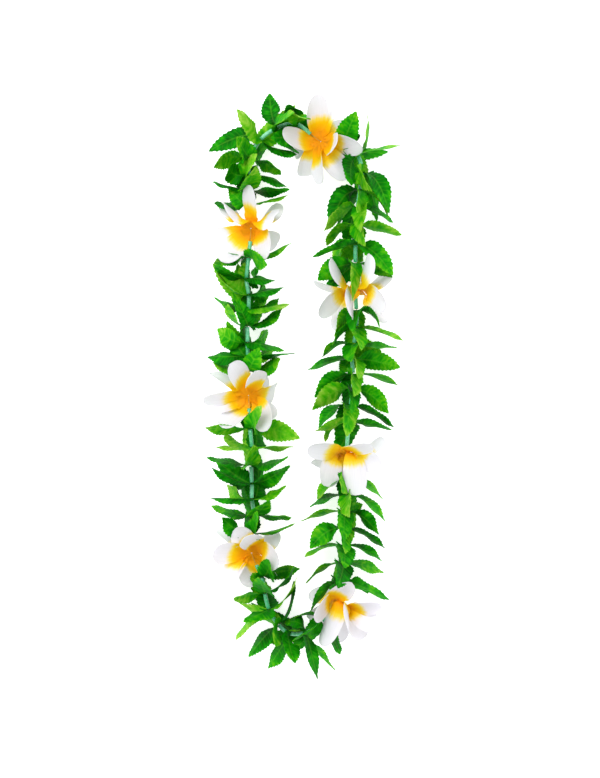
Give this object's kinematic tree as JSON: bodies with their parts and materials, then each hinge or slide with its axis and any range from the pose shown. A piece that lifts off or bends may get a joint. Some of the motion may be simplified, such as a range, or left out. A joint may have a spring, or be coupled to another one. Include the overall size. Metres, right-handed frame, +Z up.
{
  "type": "artificial flower lei",
  "caption": "Long closed garland of serrated green leaves and white and yellow flowers threaded on a cord with spacer tubes, worn round the neck or hung up.",
  "frame": {"origin": "on the surface the lei lies on, under the middle of its outline", "axes": "+Y along the long loop towards its end with two flowers near, +X to the right as seen from above, +Z up"},
  "size_m": [0.1781, 0.526, 0.0616],
  "materials": {
    "leaf_fabric": "satin dyed fabric",
    "petal_fabric": "white satin fabric, airbrushed yellow to orange at the centre",
    "spacer_plastic": "translucent mint green tube"
  },
  "bodies": {
    "root": {"spacer_string": "spacer_plastic", "flower_1": "petal_fabric", "flower_2": "petal_fabric", "flower_3": "petal_fabric", "flower_4": "petal_fabric", "flower_5": "petal_fabric", "flower_6": "petal_fabric", "flower_7": "petal_fabric", "leaf_rosette_01": "leaf_fabric", "leaf_rosette_02": "leaf_fabric", "leaf_rosette_03": "leaf_fabric", "leaf_rosette_04": "leaf_fabric", "leaf_rosette_05": "leaf_fabric", "leaf_rosette_06": "leaf_fabric", "leaf_rosette_07": "leaf_fabric", "leaf_rosette_08": "leaf_fabric", "leaf_rosette_09": "leaf_fabric", "leaf_rosette_10": "leaf_fabric", "leaf_rosette_11": "leaf_fabric", "leaf_rosette_12": "leaf_fabric", "leaf_rosette_13": "leaf_fabric", "leaf_rosette_14": "leaf_fabric", "leaf_rosette_15": "leaf_fabric", "leaf_rosette_16": "leaf_fabric", "leaf_rosette_17": "leaf_fabric", "leaf_rosette_18": "leaf_fabric", "leaf_rosette_19": "leaf_fabric", "leaf_rosette_20": "leaf_fabric", "leaf_rosette_21": "leaf_fabric", "leaf_rosette_22": "leaf_fabric", "leaf_rosette_23": "leaf_fabric", "leaf_rosette_24": "leaf_fabric", "leaf_rosette_25": "leaf_fabric", "leaf_rosette_26": "leaf_fabric", "leaf_rosette_27": "leaf_fabric", "leaf_rosette_28": "leaf_fabric", "leaf_rosette_29": "leaf_fabric", "leaf_rosette_30": "leaf_fabric", "leaf_rosette_31": "leaf_fabric", "leaf_rosette_32": "leaf_fabric", "leaf_rosette_33": "leaf_fabric", "leaf_rosette_34": "leaf_fabric", "leaf_rosette_35": "leaf_fabric", "leaf_rosette_36": "leaf_fabric", "leaf_rosette_37": "leaf_fabric", "leaf_rosette_38": "leaf_fabric", "leaf_rosette_39": "leaf_fabric", "leaf_rosette_40": "leaf_fabric", "leaf_rosette_41": "leaf_fabric", "leaf_rosette_42": "leaf_fabric", "leaf_rosette_43": "leaf_fabric", "leaf_rosette_44": "leaf_fabric", "leaf_rosette_45": "leaf_fabric", "leaf_rosette_46": "leaf_fabric", "leaf_rosette_47": "leaf_fabric", "leaf_rosette_48": "leaf_fabric", "leaf_rosette_49": "leaf_fabric", "leaf_rosette_50": "leaf_fabric", "leaf_rosette_51": "leaf_fabric", "leaf_rosette_52": "leaf_fabric"}
  },
  "joints": []
}
